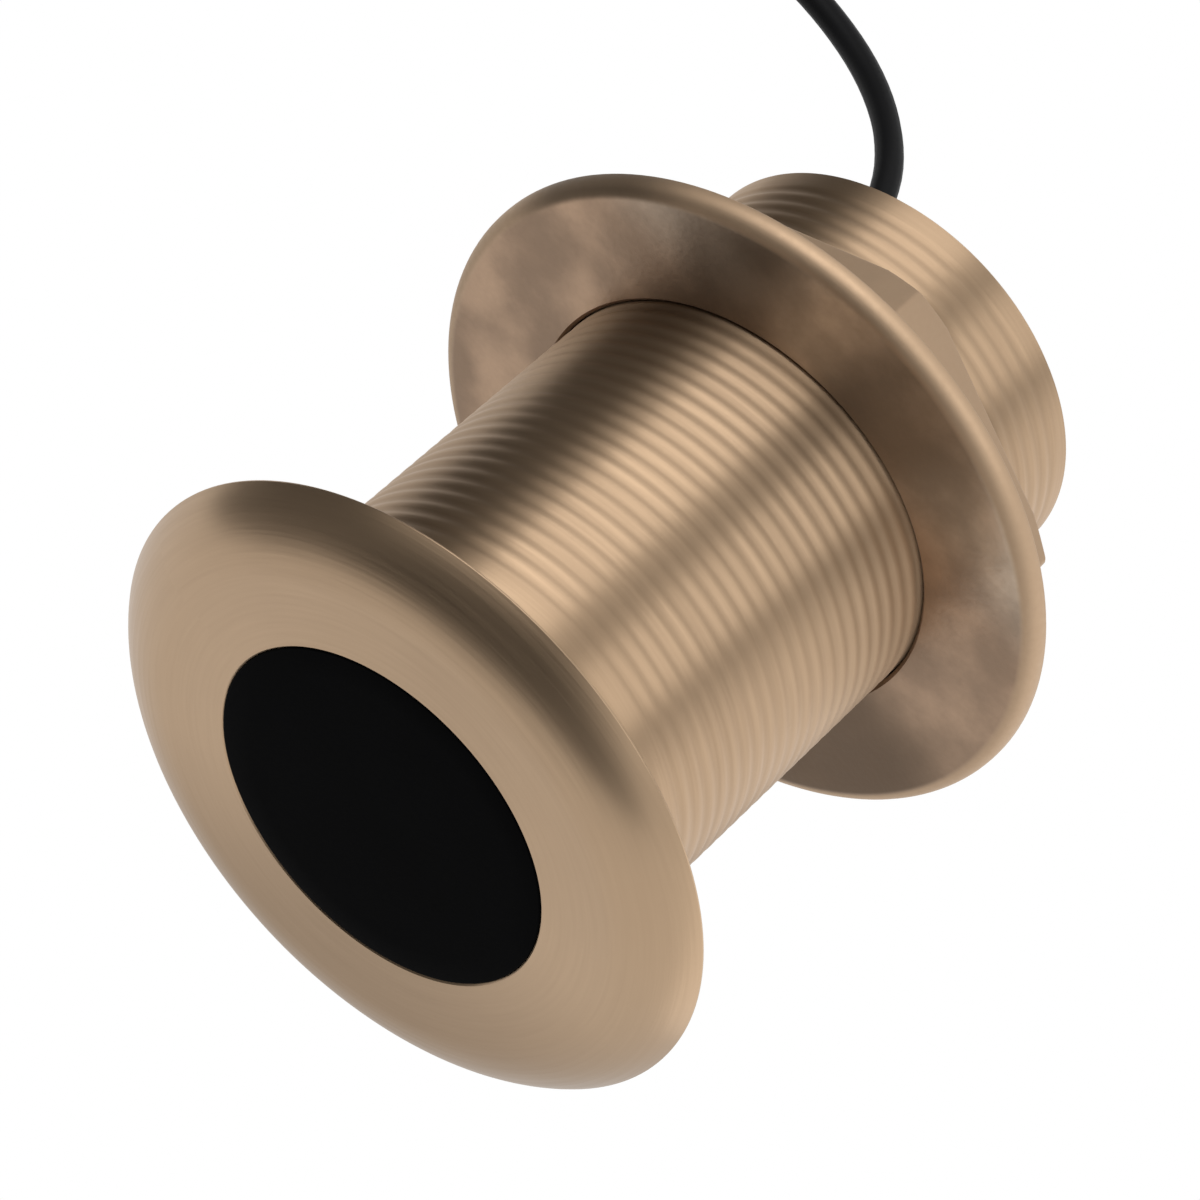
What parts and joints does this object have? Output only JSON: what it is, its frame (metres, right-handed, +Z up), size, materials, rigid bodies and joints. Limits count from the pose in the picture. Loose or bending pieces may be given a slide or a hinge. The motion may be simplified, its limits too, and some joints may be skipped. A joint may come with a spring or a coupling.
{
  "type": "sonar transducer",
  "caption": "Bronze through-hull sonar transducer: domed flange with a flush black acoustic window, threaded stem with a flanged hexagon hull nut, and a black cable with a plug.",
  "frame": {"origin": "centre of the acoustic face, on the surface that the transducer stands on", "axes": "+Z up along the stem, away from the water; -Y towards the picture's camera"},
  "size_m": [0.3466, 0.1252, 0.2066],
  "materials": {
    "bronze_housing": "satin turned bronze",
    "bronze_nut": "cast bronze with turned rim",
    "window_resin": "cast black resin",
    "piezo_ceramic": "fired",
    "soft_pad": "cork and rubber",
    "moulded_plastic": "moulded",
    "copper_wire": "enamelled",
    "board_laminate": "laminate",
    "ferrite": "sintered",
    "contact_brass": "plated",
    "core_insulation": "extruded",
    "potting_resin": "cast",
    "relief_rubber": "moulded",
    "cable_jacket": "extruded",
    "tie_strap": "woven",
    "plug_plastic": "moulded",
    "insert_plastic": "moulded"
  },
  "bodies": {
    "transducer": {"housing": "bronze_housing", "acoustic_window": "window_resin", "ceramic_element": "piezo_ceramic", "isolation_sleeve": "soft_pad", "backing_pad": "soft_pad", "element_cup": "moulded_plastic", "thermistor": "moulded_plastic", "thermistor_leads": "copper_wire", "element_leads": "copper_wire", "circuit_board": "board_laminate", "transformer_core": "ferrite", "transformer_winding": "copper_wire", "tuning_capacitors": "moulded_plastic", "board_terminals": "contact_brass", "cable_cores": "core_insulation", "shield_ferrule": "contact_brass", "potting_compound": "potting_resin", "strain_relief": "relief_rubber", "cable": "cable_jacket", "cable_coil": "cable_jacket", "cable_tail": "cable_jacket", "coil_ties": "tie_strap", "plug_boot": "relief_rubber", "plug_body": "plug_plastic", "plug_insert": "insert_plastic", "plug_contacts": "contact_brass", "plug_seal": "relief_rubber"},
    "hull_nut": {"hull_nut": "bronze_nut"},
    "plug_collar": {"plug_collar": "plug_plastic"}
  },
  "joints": [
    {"name": "nut_travel", "type": "slide", "parent": "transducer", "child": "hull_nut", "axis": [0, 0, 1], "range_m": [-0.065, 0.0215]},
    {"name": "collar_turn", "type": "hinge", "parent": "transducer", "child": "plug_collar", "pos_m": [-0.264, 0, 0.0423], "axis": [0.515, -0.8572, 0], "continuous": true}
  ]
}
